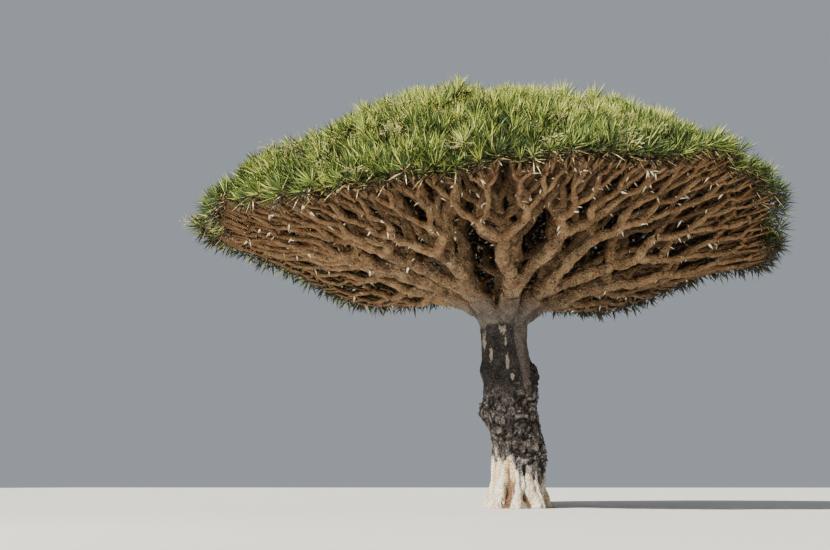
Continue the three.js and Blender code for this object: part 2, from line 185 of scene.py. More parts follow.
# The finer limbs' pieces: name, the radius above which limbs belong to it, sides, rings and redness
TWIG_PIECES = [
    ("limbs", 0.045, 9, 8, 0.1),
    ("twigs", 0.0222, 5, 6, 0.35),
    ("last_twigs", 0, 4, 4, 0.55),
]

# How the rosettes stand
TIER_DEPTH = 0.04
MOUND_SIZE = 0.62  # of the clumps that the rosettes stand in
MOUND_DEPTH = 0.045
MOUND_REACH = 0.75  # from a clump's middle to the bottom between clumps, in mound sizes
MOUND_FADE = 0.6  # how much lower the clumps are at the rim
TWIG_END = 0.93  # share of its reach from which a last twig's direction is taken
ROSETTE_RISE = 0.5  # how much a rosette turns up from its twig
AXIS_JITTER = 0.16
ROSETTE_JITTER = 0.02
SHADED_SIDE = (0.5, 0.75)  # of the crown: towards +X and +Y
SHADED_ZONE = (0.03, 0.5)  # where that side starts, and how much further until it is whole
RIM_ZONE = (0.85, 0.1)  # the same for the rim, as a share of the radius
OUTER_ZONE = (0.45, 0.4)  # and for the crown's outer part
NEAR_BIAS = 0.4
LEAST_NEAR = 0.1

# A rosette's green blades. Their rank goes from 0 at its axis to 1 at its edge.
BLADES = 37
BLADE_LENGTH = 0.205
BLADE_WIDTH = 0.0155
BLADE_FOLD = 0.42
BLADE_WIDEST = 0.42  # share of its length at which a blade is widest
BLADE_BENT = 0.22  # share of its bend that it has there
GOLDEN_ANGLE = 2.39996
ANY_TURN = 6.28
TURN_JITTER = 0.2
LEAST_ANGLE = 5  # from the rosette's axis, in degrees
SPREAD = 66
RIM_SPREAD = 34
SPREAD_POWER = 0.8
SPREAD_JITTER = 0.09
SIZE_JITTER = 0.13
SIZE_RANGE = (0.7, 1.25)
RIM_SIZE = 0.1
LARGE_SHARE = 0.1
LARGE_SIZE = 1.3
INNER_LENGTH = 0.72
MORE_LENGTH = 0.36
LENGTH_POWER = 0.7
LENGTH_JITTER = 0.07
WIDTH_JITTER = 0.1
BEND = 0.12
DROOP = 0.1
ROOT_DEPTH = 0.025
ROOT_RANGE = 0.05
ROOT_RADIUS = 0.014

# How dark a blade is, in steps from one of the GREENS to the next: partly its age and tone, partly
# painted shade and light
FIRST_AGE = 0.18
AGE_JITTER = 1.6
ROSETTE_AGE_JITTER = 0.6
# Painted shade: blades between clumps of rosettes get darker greens
VALLEY_SHADE = 1.6
MEAN_VALLEY = 0.35
# Low blades in a rosette are older, and darker also as painted shade; at the sunny rim painted light
# keeps them lighter
LOWER_AGE_AND_SHADE = 2.2
LOWER_POWER = 1.2
SUNNY_RIM_LIGHT = 0.6
# Painted shade by where a rosette stands: on the crown's shaded side, most at its rim, and outwards and
# at the rim on its sunny side
SHADED_SIDE_SHADE = 1.1
SHADED_RIM_SHADE = 3.2
SUNNY_OUTER_SHADE = 1.6
SUNNY_RIM_SHADE = 0.7

# Hanging blades: ranges for the angle from the rosette's axis in degrees, for length and width as
# shares of a green blade's, and for droop
DRY_BLADES = 10  # at most
DRY_SHARE = 0.05
# Dry blades are dealt out mostly on the rim's near, sunny side, which makes that side lighter as
# painted light
DRY_SUNNY_RIM_SHARE = 0.28
DRY_RIM = 0.9
DRY_RANGES = ((58, 108), (0.6, 1.15), (0.7, 1.1), (0, 0.3))
THATCH_BLADES = 7
THATCH_RANGES = ((72, 104), (0.75, 1.3), (1.8, 3.0), (0, 0.15))
HANG_DEPTH = (0.05, 0.09)
HANG_RADIUS = 0.02

# Old flower heads
PANICLE_SHARE = 0.04  # of the rosettes have one
PANICLE_SPRAYS = 46
STALK_LEAN = 0.25
STALK_LENGTH = (0.12, 0.18)
CLOUD_SIZE = 0.055
CLOUD_SHAPE = (1.3, 1.3, 0.6)
SPRAY_JITTER = 0.02
SPRAY_LENGTH = (0.02, 0.055)
SPRAY_RADII = (0.0035, 0.006)
ODD_WAY = (0.31, 0.47, 0.83)  # along no spray

# Dead leaves caught among the limbs
FLECKS = 1700
FLECK_PROGRESS = 0.88  # only on limbs that end before this
FLECK_RINGS = 5
FLECK_DOWN = 0.6
FLECK_TILT = 0.25
FLECK_ROOT_LENGTH = (0.19, 0.36)  # the square root of their length
FLECK_WIDTH = (0.2, 0.4)  # as a share of their length
FLECK_DROOP = (0, 0.4)

# Colours of the leaves
GREENS = [
    ("young", (0.6, 0.63, 0.17)),
    ("light", (0.37, 0.44, 0.11)),
    ("mid", (0.165, 0.235, 0.05)),
    ("blue", (0.08, 0.135, 0.045)),
    ("deep", (0.022, 0.032, 0.011)),
]
STRAW = (0.88, 0.74, 0.4)
# Near black, as painted shade: dead leaves hanging in the gaps below the rosettes
SHADE_THATCH = (0.035, 0.028, 0.015)
PANICLE = (0.47, 0.4, 0.22)
FLECK = (0.96, 0.87, 0.68)
LEAF_ROUGHNESS = 0.48
LEAF_SHEEN = 0.18

# Colours of the boughs and the finer limbs
BARK_ROUGHNESS = 0.85
BARK_SHEEN = 0.25
BROWN_TAN = (0.24, 0.14, 0.06)
LIGHT_TAN = (0.56, 0.38, 0.195)
REDDISH = (0.4, 0.145, 0.05)
DUSKY = (0.13, 0.075, 0.042)
PALE_TAN = (0.8, 0.64, 0.43)
LIMB_HOLLOW = (0.045, 0.025, 0.013)
TWIG_RED = (0.21, 0.105, 0.043)
# Painted shade on the finer limbs that lie deep in the crown
TWIG_SHADE = (0.03, 0.019, 0.011)
TWIG_SHADE_WEIGHT = 0.74
TWIG_BUMP = 0.06
WOOD_BUMP = 0.08
FINE_LUMPS = 0.7  # their weight in the bump

# Colours of the trunk
# The foot's cream is partly the pale bark, partly painted sunlight below the crown's shadow
FOOT_TAN = (0.8, 0.56, 0.3)
FOOT_CREAM_AND_SUNLIGHT = (1.0, 0.96, 0.8)
# Painted shade in the foot's furrows
FOOT_FURROW_SHADE = (0.22, 0.13, 0.075)
KNOB_DARK = (0.07, 0.065, 0.065)
KNOB_LIGHT = (0.21, 0.19, 0.18)
KNOB_BROWN = (0.22, 0.125, 0.075)
# Pale: painted highlights on the knobs' rims, and real curls of pale bark
KNOB_HIGHLIGHT_AND_CURL = (0.54, 0.49, 0.46)
# Painted shade in the gaps between knobs
KNOB_GAP_SHADE = (0.02, 0.017, 0.016)
BURNT_DARK = (0.016, 0.014, 0.015)
BURNT_LIGHT = (0.065, 0.058, 0.057)
SCAR = (0.56, 0.47, 0.38)
NECK_DARK = (0.12, 0.1, 0.088)
NECK_LIGHT = (0.28, 0.235, 0.2)
# Painted shade in the relief's hollows above the foot
TRUNK_SHADE = (0.03, 0.022, 0.017)
TRUNK_SHADE_WEIGHT = 0.7
PALE_GRIT = (0.7, 0.62, 0.52)
DARK_GRIT = (0.03, 0.024, 0.02)

# Pale scars on the charcoal bark: centre, half width and half height
SCARS = [
    ((-0.485, -0.25, 2.54), 0.05, 0.2), ((-0.379, -0.35, 2.30), 0.04, 0.16),
    ((-0.145, -0.37, 2.51), 0.025, 0.1), ((-0.122, -0.37, 2.18), 0.035, 0.15),
    ((-0.043, -0.37, 1.97), 0.035, 0.1), ((-0.19, -0.37, 2.69), 0.09, 0.09),
]
SCAR_SHALLOWNESS = 5  # a scar reaches 1 / 5 m into the trunk
SCAR_EDGE = (1.0, 0.7)
SCAR_RAGGEDNESS = 2.6
SCAR_SHRINK = 0.15

# Where the trunk's colours change: between two places each, in metres
WOBBLE = 1.2
NECK_WOBBLE = 0.3  # share of that wobble
# The foot's colour ends about where the crown's shadow falls on the trunk
FOOT_EDGE = (0.55, 0.61)
BURNT_EDGE = (1.62, 1.85)
NECK_EDGE = (2.75, 2.81)
TAN_EDGE = (2.9, 3.35)
BOUGH_EDGE = (1.38, 1.44)  # how far out the tan boughs start, less with height
BOUGH_EDGE_SLOPE = 0.3
# A clean strip up the right side, apart from the burl on it
STRIP_EDGE = (0.37, 0.41)
STRIP_SLOPE = 0.15
STRIP_START = (1.7, 1.85)
BURL_EDGE = (0.24, 0.2)
BURL_TOP = (2.25, 2.35)

# The stage
FLOOR = [[-60, -40, 0], [60, -40, 0], [60, 120, 0], [-60, 120, 0]]
FLOOR_ROUGHNESS = 0.9
FLOOR_DARK = (0.6, 0.58, 0.55)
FLOOR_LIGHT = (0.66, 0.64, 0.61)
SKY = (0.8, 0.87, 0.95)
SKY_STRENGTH = 0.4
LAMP_AIM = (0, 0, 4)
LAMP_DISTANCE = 14
SUN_WAY = (0.62, 0.55, -0.573)  # the way its light goes
SUN_STRENGTH = 12.5
SUN_COLOUR = (1, 0.95, 0.86)
SUN_ANGLE = math.radians(0.8)
FILL_WAY = (0.5, 0.86, 0.09)
FILL_POWER = 410
FILL_COLOUR = (1, 0.9, 0.78)
FILL_SIZE = 2.5

# Camera, as fitted to the photo
EYE = (0, -15.949, 0.344)
TILT = math.radians(11.667)
TURN = math.radians(5.664)
LENS = 44.11
SENSOR = 36
FARTHEST = 500

SEED = 7
rng = np.random.default_rng(SEED)
noise.seed_set(SEED)


def chance(*seeds):
    """The same number between 0 and 1 as the source gives for these seeds. The last seed is the use
    that the number has."""
    mixed = 4.137 + sum(seed * (12.9898 + 31.731 * i) for i, seed in enumerate(seeds))
    wave = math.sin(mixed) * 43758.5453
    return wave - math.floor(wave)


def waves(amplitudes, azimuth):
    return sum(
        sine * np.sin((i + 1) * azimuth) + cosine * np.cos((i + 1) * azimuth)
        for i, (sine, cosine) in enumerate(amplitudes)
    )


def flow(share, azimuth, progress):
    """A place on the crown's flow. Azimuth 0 is towards -Y, and grows towards +X."""
    run = CROWN_RADIUS * share * (1 + waves(REACH_WAVES, azimuth) * share) * progress
    dome = np.maximum(0, 1 - share * share) ** (DOME_POWER / 2)
    shoulder = 4 * share * share * (1 - share * share) * SHOULDER_TILT * np.sin(azimuth)
    uneven = waves(HEIGHT_WAVES, azimuth) * share * share + shoulder
    top = RIM_HEIGHT + CROWN_RISE * dome + uneven
    arch = progress ** (1 - RIM_ARCH * share * share)
    x = HEAD[0] + run * np.sin(azimuth)
    y = HEAD[1] - run * np.cos(azimuth)
    return np.stack(np.broadcast_arrays(x, y, HEAD[2] + (top - HEAD[2]) * arch), -1)


@dataclass
class Cell:
    """A piece of the crown: its inner and outer share of the radius, and its azimuths."""

    inner: float
    outer: float
    start: float
    end: float
    seed: int
    lift: float = 0.0
    path: int = 1
    whole: bool = False

    def __post_init__(self):
        share = (self.inner + self.outer) / 2
        azimuth = (self.start + self.end) / 2
        edges = flow(np.array([self.inner, self.outer]), azimuth, 1.0)
        self.deep = float(np.linalg.norm(edges[0] - edges[1]))
        self.wide = CROWN_RADIUS * share * (self.end - self.start)
        self.size = math.sqrt(self.deep * self.wide)
        bias = LIMB_BIAS * min(1, max(0, (self.size - TIP_CELL) / BIASED_CELL))
        bias = -0.5 if self.whole else bias
        self.share = self.inner + (self.outer - self.inner) * (0.5 + bias)
        self.azimuth = azimuth
        self.radius = TIP_RADIUS * (self.size / TIP_CELL) ** THICKENING
        self.fork = LAST_FORK - FORK_STEP * math.log2(self.size / FORK_CELL)

    def split(self):
        """The two cells that this one forks into, across its longer side."""
        cut = 0.5 + CUT_JITTER * (chance(self.seed, self.path, 1) - 0.5)

        def half(side, **edges):
            raised = LIFT_JITTER * self.size * (chance(self.seed, self.path, 2 + side) - 0.5)
            lift = min(MOST_LIFT, self.lift + raised)
            return replace(self, whole=False, path=2 * self.path + side, lift=lift, **edges)

        if self.deep > self.wide and not self.whole:
            share = self.inner + (self.outer - self.inner) * cut
            return [half(0, inner=share), half(1, outer=share)]
        azimuth = self.start + (self.end - self.start) * cut
        halves = [half(0, end=azimuth), half(1, start=azimuth)]
        return halves if chance(self.seed, self.path, 4) < 0.5 else halves[::-1]


@dataclass
class Link:
    """Where a limb starts or ends: its place on the flow, and its radius there."""

    share: float
    azimuth: float
    progress: float
    radius: float


def link(cell, progress, radius=None):
    return Link(cell.share, cell.azimuth, progress * (1 + cell.lift), radius or cell.radius)


def valley(cell):
    """0 where a clump of rosettes is highest, and 1 between clumps."""
    x, y, z = flow(cell.share, cell.azimuth, 1.0)
    near = noise.voronoi(Vector((x, y, z)) / MOUND_SIZE)[0][0]
    return min(1, near / MOUND_REACH) ** 2


def tip_reach(cell):
    """How far a last twig reaches. Some stop short, so that the rosettes stand in tiers and clumps."""
    tier = chance(cell.seed, cell.path, 8) ** 2
    mound = MOUND_DEPTH * valley(cell) * (1 - MOUND_FADE * cell.share**2)
    return (1 + cell.lift) * (1 - TIER_DEPTH * tier - mound)


def grow(cell, parent, limbs, tips):
    """The limbs of a cell from its parent's fork, and its rosettes."""
    if cell.size < LAST_CELL:
        limbs.append((parent, Link(cell.share, cell.azimuth, tip_reach(cell), cell.radius)))
        tips.append(cell)
        return
    fork = link(cell, min(cell.fork, LAST_START))
    limbs.append((parent, fork))
    for half in cell.split():
        grow(half, fork, limbs, tips)


def sector_edge(i):
    shift = SECTOR_JITTER * (chance(i % SECTORS, 5) - 0.5) * 2
    return SECTOR_START + i * 2 * math.pi / SECTORS + shift


def crown():
    """The heavy boughs, the finer limbs and the rosettes of the whole crown."""
    boughs, limbs, tips = [], [], []

    def bough_and_mass(cell, fork):
        start = replace(fork, radius=min(fork.radius * FORK_SHARE, cell.radius * BOUGH_SWELL))
        end = link(cell, MASS_START)
        boughs.append((start, end))
        grow(cell, end, limbs, tips)

    middle = Cell(0, CENTRE_SHARE, SECTOR_START, SECTOR_START + 2 * math.pi, seed=1, whole=True)
    bough_and_mass(middle, link(middle, HEAD_START, middle.radius * MIDDLE_SWELL))
    for i in range(SECTORS):
        sector = Cell(CENTRE_SHARE, 1, sector_edge(i), sector_edge(i + 1), seed=2 + 3 * i)
        fork = link(sector, FIRST_FORK, MAIN_END_RADIUS)
        boughs.append((link(sector, HEAD_START, MAIN_RADIUS), fork))
        jitter = PARTING_JITTER * (chance(sector.seed, 9) - 0.5)
        parting = sector.azimuth + jitter
        edges = [
            {"outer": MIDDLE_SHARE},
            {"inner": MIDDLE_SHARE, "end": parting},
            {"inner": MIDDLE_SHARE, "start": parting},
        ]
        for side, edge in enumerate(edges):
            lift = MASS_LIFT * (chance(sector.seed, 10 + side) - 0.5)
            bough_and_mass(replace(sector, seed=sector.seed + side, lift=lift, **edge), fork)
    return boughs, limbs, tips


# Skins and pieces


def unit(vectors):
    return vectors / np.maximum(np.linalg.norm(vectors, axis=-1, keepdims=True), 1e-9)


def ramp(value, start, length):
    """0 up to the start, and 1 from a length after it."""
    return np.clip((value - start) / length, 0, 1)


def wander(points, scale):
    """A smooth unevenness for places, the same each time."""
    flat = points.reshape(-1, 3)
    moved = [noise.noise_vector(Vector(p) * scale) for p in flat]
    return np.array(moved).reshape(points.shape)


def bends(points, radius, scale, share, most):
    """How far limbs of these radii stray at their points."""
    return wander(points, scale) * np.minimum(radius * share, most)[..., None]


def limb_paths(limbs, rings):
    """Points, radii and sideways directions along limbs, and how deep in the crown they lie.
    A limb leaves its parent's line early, then follows the flow."""
    along = np.linspace(0, 1, rings)
    turn = 1 - (1 - along) ** EARLY_TURN
    columns = {
        name: np.array([[getattr(a, name), getattr(b, name)] for a, b in limbs])
        for name in ("share", "azimuth", "progress", "radius")
    }

    def blend(name, weight):
        first, last = columns[name][:, :1], columns[name][:, 1:]
        return first + (last - first) * weight

    azimuths = columns["azimuth"]
    azimuths[:, 0] += 2 * np.pi * np.round((azimuths[:, 1] - azimuths[:, 0]) / (2 * np.pi))
    share = blend("share", turn)
    azimuth = blend("azimuth", turn)
    progress = blend("progress", along)
    points = flow(share, azimuth, progress)
    sag = np.sin(np.pi * ramp(progress, *DIP_PROGRESS) ** DIP_LATENESS)
    points[..., 2] -= LIMB_DIP * share**2 * sag
    radius = blend("radius", along)
    radius = radius * (SLENDER + (1 - SLENDER) * ramp(radius, *STOUT_RADIUS)) + BARK
    between_ends = np.sin(np.pi * along)[None, :, None]
    points += (bends(points, radius, *BOWS) + bends(points, radius, *CROOKS)) * between_ends
    across = np.stack([np.cos(azimuth), np.sin(azimuth), np.zeros_like(azimuth)], -1)
    depth = ramp(progress, *DEEP_PROGRESS) * np.clip((OPEN_SHARE - share) / OPEN_WIDTH, 0, 1)
    return points, radius, across, depth


def ring_faces(index):
    """Faces between rings that run the same way round, from the numbers of their corners."""
    following = np.roll(index, -1, axis=-1)
    lower, upper = index[..., :-1, :], index[..., 1:, :]
    next_lower, next_upper = following[..., :-1, :], following[..., 1:, :]
    return np.stack([lower, next_lower, next_upper, upper], -1).reshape(-1, 4)


def tubes(points, radius, across, sides, capped):
    """Round skins along paths: corners, and faces in blocks of one size."""
    count, rings = radius.shape
    tangent = unit(np.gradient(points, axis=1))
    beside = unit(across - tangent * np.sum(across * tangent, -1, keepdims=True))
    above = np.cross(tangent, beside)
    turn = np.arange(sides) * 2 * np.pi / sides
    ring = (
        beside[:, :, None] * np.cos(turn)[None, None, :, None]
        + above[:, :, None] * np.sin(turn)[None, None, :, None]
    )
    corners = points[:, :, None] + ring * radius[:, :, None, None]
    index = np.arange(count * rings * sides).reshape(count, rings, sides)
    blocks = [ring_faces(index)]
    if capped:
        blocks += [index[:, 0, ::-1], index[:, -1]]
    return corners.reshape(-1, 3), blocks


def add_object(name, data):
    made = bpy.data.objects.new(name, data)
    bpy.context.scene.collection.objects.link(made)
    return made


def mesh_object(name, corners, blocks, smooth=True):
    mesh = bpy.data.meshes.new(name)
    loops = np.concatenate([block.ravel() for block in blocks]).astype(np.int32)
    sizes = np.concatenate([np.full(len(block), block.shape[1]) for block in blocks])
    starts = np.concatenate([[0], np.cumsum(sizes)[:-1]]).astype(np.int32)
    mesh.vertices.add(len(corners))
    mesh.vertices.foreach_set("co", corners.astype(np.float32).ravel())
    mesh.loops.add(len(loops))
    mesh.loops.foreach_set("vertex_index", loops)
    mesh.polygons.add(len(starts))
    mesh.polygons.foreach_set("loop_start", starts)
    mesh.polygons.foreach_set("use_smooth", np.full(len(starts), smooth))
    mesh.update(calc_edges=True)
    return add_object(name, mesh)


def keep_attribute(piece, name, values):
    """A number at each corner, for the piece's colours."""
    attribute = piece.data.attributes.new(name, "FLOAT", "POINT")
    attribute.data.foreach_set("value", values.astype(np.float32).ravel())


def joined(parts):
    """Corners and blocks of several skins as one."""
    corners, blocks, base = [], [], 0
    for part, part_blocks in parts:
        corners.append(part)
        blocks += [block + base for block in part_blocks]
        base += len(part)
    return np.concatenate(corners), blocks


def finish_piece(piece, material, slot, *nodes):
    piece.data.materials.append(material)
    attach(piece, "root")
    if nodes:
        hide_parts(*nodes)


# The trunk and the limbs


def trunk_skin():
    """The trunk's fluted, burled surface, closed at both ends."""
    height = np.linspace(0, TRUNK_LINE[-1, 0], TRUNK_RINGS)
    shift, base = (np.interp(height, TRUNK_LINE[:, 0], TRUNK_LINE[:, i])[:, None] for i in (1, 2))
    height = height[:, None]
    azimuth = np.linspace(0, 2 * np.pi, TRUNK_SIDES, endpoint=False)[None, :]
    low = np.exp(-height / ROOT_RIDGE_HEIGHT)
    turn = ROOT_RIDGE_WANDER * np.sin(azimuth) + height * ROOT_RIDGE_TWIST
    ridges = np.cos(ROOT_RIDGES * azimuth + turn)
    fine_turn = FINE_RIDGE_WANDER * np.sin(TRUNK_LOBES * azimuth)
    fine = np.cos(FINE_RIDGES * azimuth + fine_turn + height * FINE_RIDGE_TWIST)
    radius = base + ROOT_RIDGE_DEPTH * low * ridges + FINE_RIDGE_DEPTH * low * fine
    lobes = np.sin(TRUNK_LOBES * azimuth + height / TRUNK_UNEVEN_HEIGHT)
    radius = radius + TRUNK_UNEVENNESS * lobes
    for degrees, at, size, stands in BURLS:
        turned = azimuth - math.radians(degrees)
        across = np.arctan2(np.sin(turned), np.cos(turned)) * base
        radius = radius + stands * np.exp(-(across**2 + (height - at) ** 2) / size**2)
    x = shift + radius * np.sin(azimuth)
    y = -radius * np.cos(azimuth)
    corners = np.stack(np.broadcast_arrays(x, y, height), -1).reshape(-1, 3)
    index = np.arange(TRUNK_RINGS * TRUNK_SIDES).reshape(TRUNK_RINGS, TRUNK_SIDES)
    return corners, [ring_faces(index), index[:1, ::-1], index[-1:]]


def smooth_step(value, low, high):
    t = min(1, max(0, (value - low) / (high - low)))
    return t * t * (3 - 2 * t)


def scaled(point, scale):
    return Vector([value * times for value, times in zip(point, scale)])


def rough(place, finer=2.1, layers=4):
    """Roughness about 0, in layers that are each so many times finer than the last."""
    return noise.fractal(place, ROUGHNESS_FALL, finer, layers)


def knobbed(place, lump, gap):
    """Lumps with narrow gaps between them."""
    near, next_near = noise.voronoi(place)[0][:2]
    return lump * (0.5 - near) + gap * min(next_near - near, KNOB_GAP)


def trunk_relief(point):
    """Long furrows at the foot, knobs and scars above them, and a smooth neck."""
    x, _, z = point
    furrows = rough(scaled(point, FURROW_SCALE)) * FURROW_WEIGHT
    warped = scaled(point, KNOB_SCALE) + noise.noise_vector(Vector(point) * KNOB_WARP)
    knobs = knobbed(warped, *KNOB_WEIGHTS) + KNOB_LEVEL
    knobs += knobbed(warped * SMALL_KNOBS, *SMALL_WEIGHTS)
    knobs += GRAIN_WEIGHT * rough(warped * GRAIN, finer=2.2, layers=3)
    neck = NECK_WEIGHT * rough(scaled(point, NECK_SCALE))
    ragged = z + EDGE_DEPTH * noise.noise(scaled(point, EDGE_SCALE))
    low = smooth_step(ragged + FOOT_TILT * x, *FOOT_RELIEF_EDGE)
    high = smooth_step(ragged - NECK_TILT * max(0, x - NECK_TILT_START), *NECK_RELIEF_EDGE)
    return furrows * (1 - low) + knobs * low * (1 - high) + neck * high


def bough_relief(point):
    """Wrinkles, pits and knots of the boughs."""
    coarse = rough(scaled(point, BOUGH_SCALE))
    pits = noise.voronoi(Vector(point) * PIT_SCALE)[0][0]
    return BOUGH_WEIGHT * coarse + PIT_WEIGHT * min(pits, PIT_SIZE) + BOUGH_LEVEL


def remeshed(raw, name, voxel, rounds):
    """One fused, evened skin from overlapping closed ones."""
    for kind, settings in (
        ("REMESH", {"mode": "VOXEL", "voxel_size": voxel, "use_smooth_shade": True}),
        ("SMOOTH", {"factor": SMOOTHING, "iterations": rounds}),
    ):
        modifier = raw.modifiers.new(kind.lower(), kind)
        for key, value in settings.items():
            setattr(modifier, key, value)
    evaluated = raw.evaluated_get(bpy.context.evaluated_depsgraph_get())
    mesh = bpy.data.meshes.new_from_object(evaluated)
    bpy.data.objects.remove(raw)
    return add_object(name, mesh)


def make_wood(name, parts, voxel, rounds, relief_at, depth):
    """A fused skin with bark relief, which is also kept as an attribute for its colours."""
    wood = remeshed(mesh_object(f"{name}_skin", *joined(parts)), name, voxel, rounds)
    mesh = wood.data
    places = np.empty(len(mesh.vertices) * 3, np.float32)
    normals = np.empty_like(places)
    mesh.vertices.foreach_get("co", places)
    mesh.vertex_normals.foreach_get("vector", normals)
    places = places.reshape(-1, 3)
    normals = normals.reshape(-1, 3)
    relief = np.array([relief_at(p) for p in places.tolist()], np.float32)
    above_ground = np.clip(places[:, 2] / GROUND_FADE, 0, 1)
    places += normals * (relief * depth * above_ground)[:, None]
    places[:, 2] = np.where(places[:, 2] < GROUND_SNAP, 0, places[:, 2])
    mesh.vertices.foreach_set("co", places.ravel())
    keep_attribute(wood, "relief", relief)
    mesh.polygons.foreach_set("use_smooth", np.ones(len(mesh.polygons), bool))
    mesh.update()
    return wood


def limb_skins(limbs, rings, sides):
    """Closed skins of limbs, swollen a little between their joints."""
    points, radius, across, _ = limb_paths(limbs, rings)
    swollen = 1 + KNOT_SWELL * np.sin(np.pi * np.linspace(0, KNOTS, rings))[None]
    return tubes(points, radius * swollen, across, sides, capped=True)


def make_trunk(boughs):
    """The trunk and the main boughs on its head, as one piece."""
    main = [pair for pair in boughs if pair[1].progress < MAIN_END]
    parts = [trunk_skin(), limb_skins(main, BOUGH_RINGS, MAIN_SIDES)]
    trunk = make_wood("trunk_and_head", parts, TRUNK_VOXEL, TRUNK_ROUNDS, trunk_relief, TRUNK_RELIEF)
    finish_piece(trunk, wood_material(), "trunk_bark", *MAIN_NODES, "trunk")


def make_boughs(boughs, limbs):
    """The forked boughs and the heavy limbs that they end in, as one piece."""
    forked = [pair for pair in boughs if pair[1].progress >= MAIN_END]
    heavy = [pair for pair in limbs if pair[1].radius > HEAVY_RADIUS]
    parts = [limb_skins(forked, BOUGH_RINGS, BOUGH_SIDES), limb_skins(heavy, HEAVY_RINGS, BOUGH_SIDES)]
    made = make_wood("boughs", parts, BOUGH_VOXEL, BOUGH_ROUNDS, bough_relief, BOUGH_RELIEF)
    finish_piece(made, wood_material(), "bough_bark", *BOUGH_NODES)


def twig_object(name, limbs, sides, rings):
    """Finer limbs, each a slightly swollen, uneven joint."""
    points, radius, across, depth = limb_paths(limbs, rings)
    along = np.linspace(0, 1, rings)[None]
    swollen = JOINT_WAIST + JOINT_SWELL * np.sin(np.pi * along) ** JOINT_FULLNESS
    uneven = 1 + JOINT_JITTER * rng.standard_normal(radius.shape)
    made = mesh_object(name, *tubes(points, radius * swollen * uneven, across, sides, capped=False))
    # How deep each corner lies, for the painted shade on the bark
    keep_attribute(made, "depth", np.repeat(depth, sides))
    return made


def make_twigs(limbs):
    """The finer limbs, in pieces by their radius."""
    most = HEAVY_RADIUS
    for name, least, sides, rings, redness in TWIG_PIECES:
        group = [pair for pair in limbs if least < pair[1].radius <= most]
        bark = twig_material(f"{name}_bark", redness)
        finish_piece(twig_object(name, group, sides, rings), bark, "bough_bark", *MASS_NODES)
        most = least


# The leaves


def rosette_frames(tips):
    """Where each rosette sits, which way it stands, and its share of the radius and azimuth."""
    share = np.array([cell.share for cell in tips])
    azimuth = np.array([cell.azimuth for cell in tips])
    reach = np.array([tip_reach(cell) for cell in tips])
    at = flow(share, azimuth, reach)
    along = unit(at - flow(share, azimuth, TWIG_END * reach))
    jitter = rng.normal(0, AXIS_JITTER, along.shape)
    axis = unit(along + np.array([0, 0, ROSETTE_RISE]) + jitter)
    return at, axis, share, azimuth


def crown_zones(share, azimuth):
    """How much each rosette is at the rim, on the shaded side, and on the sunny side's near part."""
    at_rim = ramp(share, *RIM_ZONE)
    to_shade = np.sin(azimuth) * SHADED_SIDE[0] - np.cos(azimuth) * SHADED_SIDE[1]
    shaded = ramp(to_shade, *SHADED_ZONE)
    near = (1 - shaded) * np.clip(np.cos(azimuth) + NEAR_BIAS, LEAST_NEAR, 1)
    return at_rim, shaded, near


def blade_skin(root, direction, upper, length, width, bend):
    """Folded blades of 4 faces: widest below the middle, and pointed."""
    side = unit(np.cross(direction, upper))
    face = np.cross(side, direction)
    length, width = length[:, None], width[:, None]
    middle = root + direction * length * BLADE_WIDEST + bend * length * BLADE_BENT
    corners = np.stack(
        [
            root,
            middle - side * width * 0.5,
            middle - face * width * BLADE_FOLD,
            middle + side * width * 0.5,
            root + direction * length + bend * length,
        ],
        1,
    )
    faces = np.array([[0, 2, 1], [0, 3, 2], [1, 2, 4], [2, 3, 4]])
    index = (np.arange(len(root)) * corners.shape[1])[:, None, None] + faces[None]
    return corners.reshape(-1, 3), [index.reshape(-1, 3)]


def blade_sizes(rank, at_rim):
    """Length and width of each blade. Middle ranks are the longest, and some rosettes are large."""
    count = len(rank)
    size = np.clip(rng.normal(1, SIZE_JITTER, count), *SIZE_RANGE) * (1 + RIM_SIZE * at_rim)
    size = (size * np.where(rng.random(count) < LARGE_SHARE, LARGE_SIZE, 1))[:, None]
    length = BLADE_LENGTH * size * (INNER_LENGTH + MORE_LENGTH * np.sin(np.pi * rank**LENGTH_POWER))
    length = length * rng.normal(1, LENGTH_JITTER, rank.shape)
    width = BLADE_WIDTH * rng.normal(1, WIDTH_JITTER, rank.shape)
    return length, width


def rosette_blades(at, axis, at_rim, near):
    """The ranks of each rosette's green blades, and what blade_skin makes them from."""
    count = len(at)
    sideways = unit(np.cross(axis, rng.normal(size=axis.shape)))
    forwards = np.cross(axis, sideways)
    rank = (np.arange(BLADES)[None] + rng.random((count, BLADES))) / BLADES
    turn = np.arange(BLADES)[None] * GOLDEN_ANGLE + rng.random((count, 1)) * ANY_TURN
    turn = turn + rng.normal(0, TURN_JITTER, turn.shape)
    widest = (SPREAD + RIM_SPREAD * at_rim * (1 - near))[:, None]
    polar = np.radians(LEAST_ANGLE + widest * rank**SPREAD_POWER)
    polar = polar + rng.normal(0, SPREAD_JITTER, rank.shape)
    outward = (
        sideways[:, None] * np.cos(turn)[..., None] + forwards[:, None] * np.sin(turn)[..., None]
    )
    direction = axis[:, None] * np.cos(polar)[..., None] + outward * np.sin(polar)[..., None]
    upper = axis[:, None] * np.sin(polar)[..., None] - outward * np.cos(polar)[..., None]
    length, width = blade_sizes(rank, at_rim)
    bend = outward * BEND * rank[..., None] + np.array([0, 0, -DROOP]) * rank[..., None]
    height = (-ROOT_DEPTH + ROOT_RANGE * (1 - rank))[..., None]
    root = at[:, None] + axis[:, None] * height + outward * ROOT_RADIUS
    return rank, (root, direction, upper, length, width, bend)


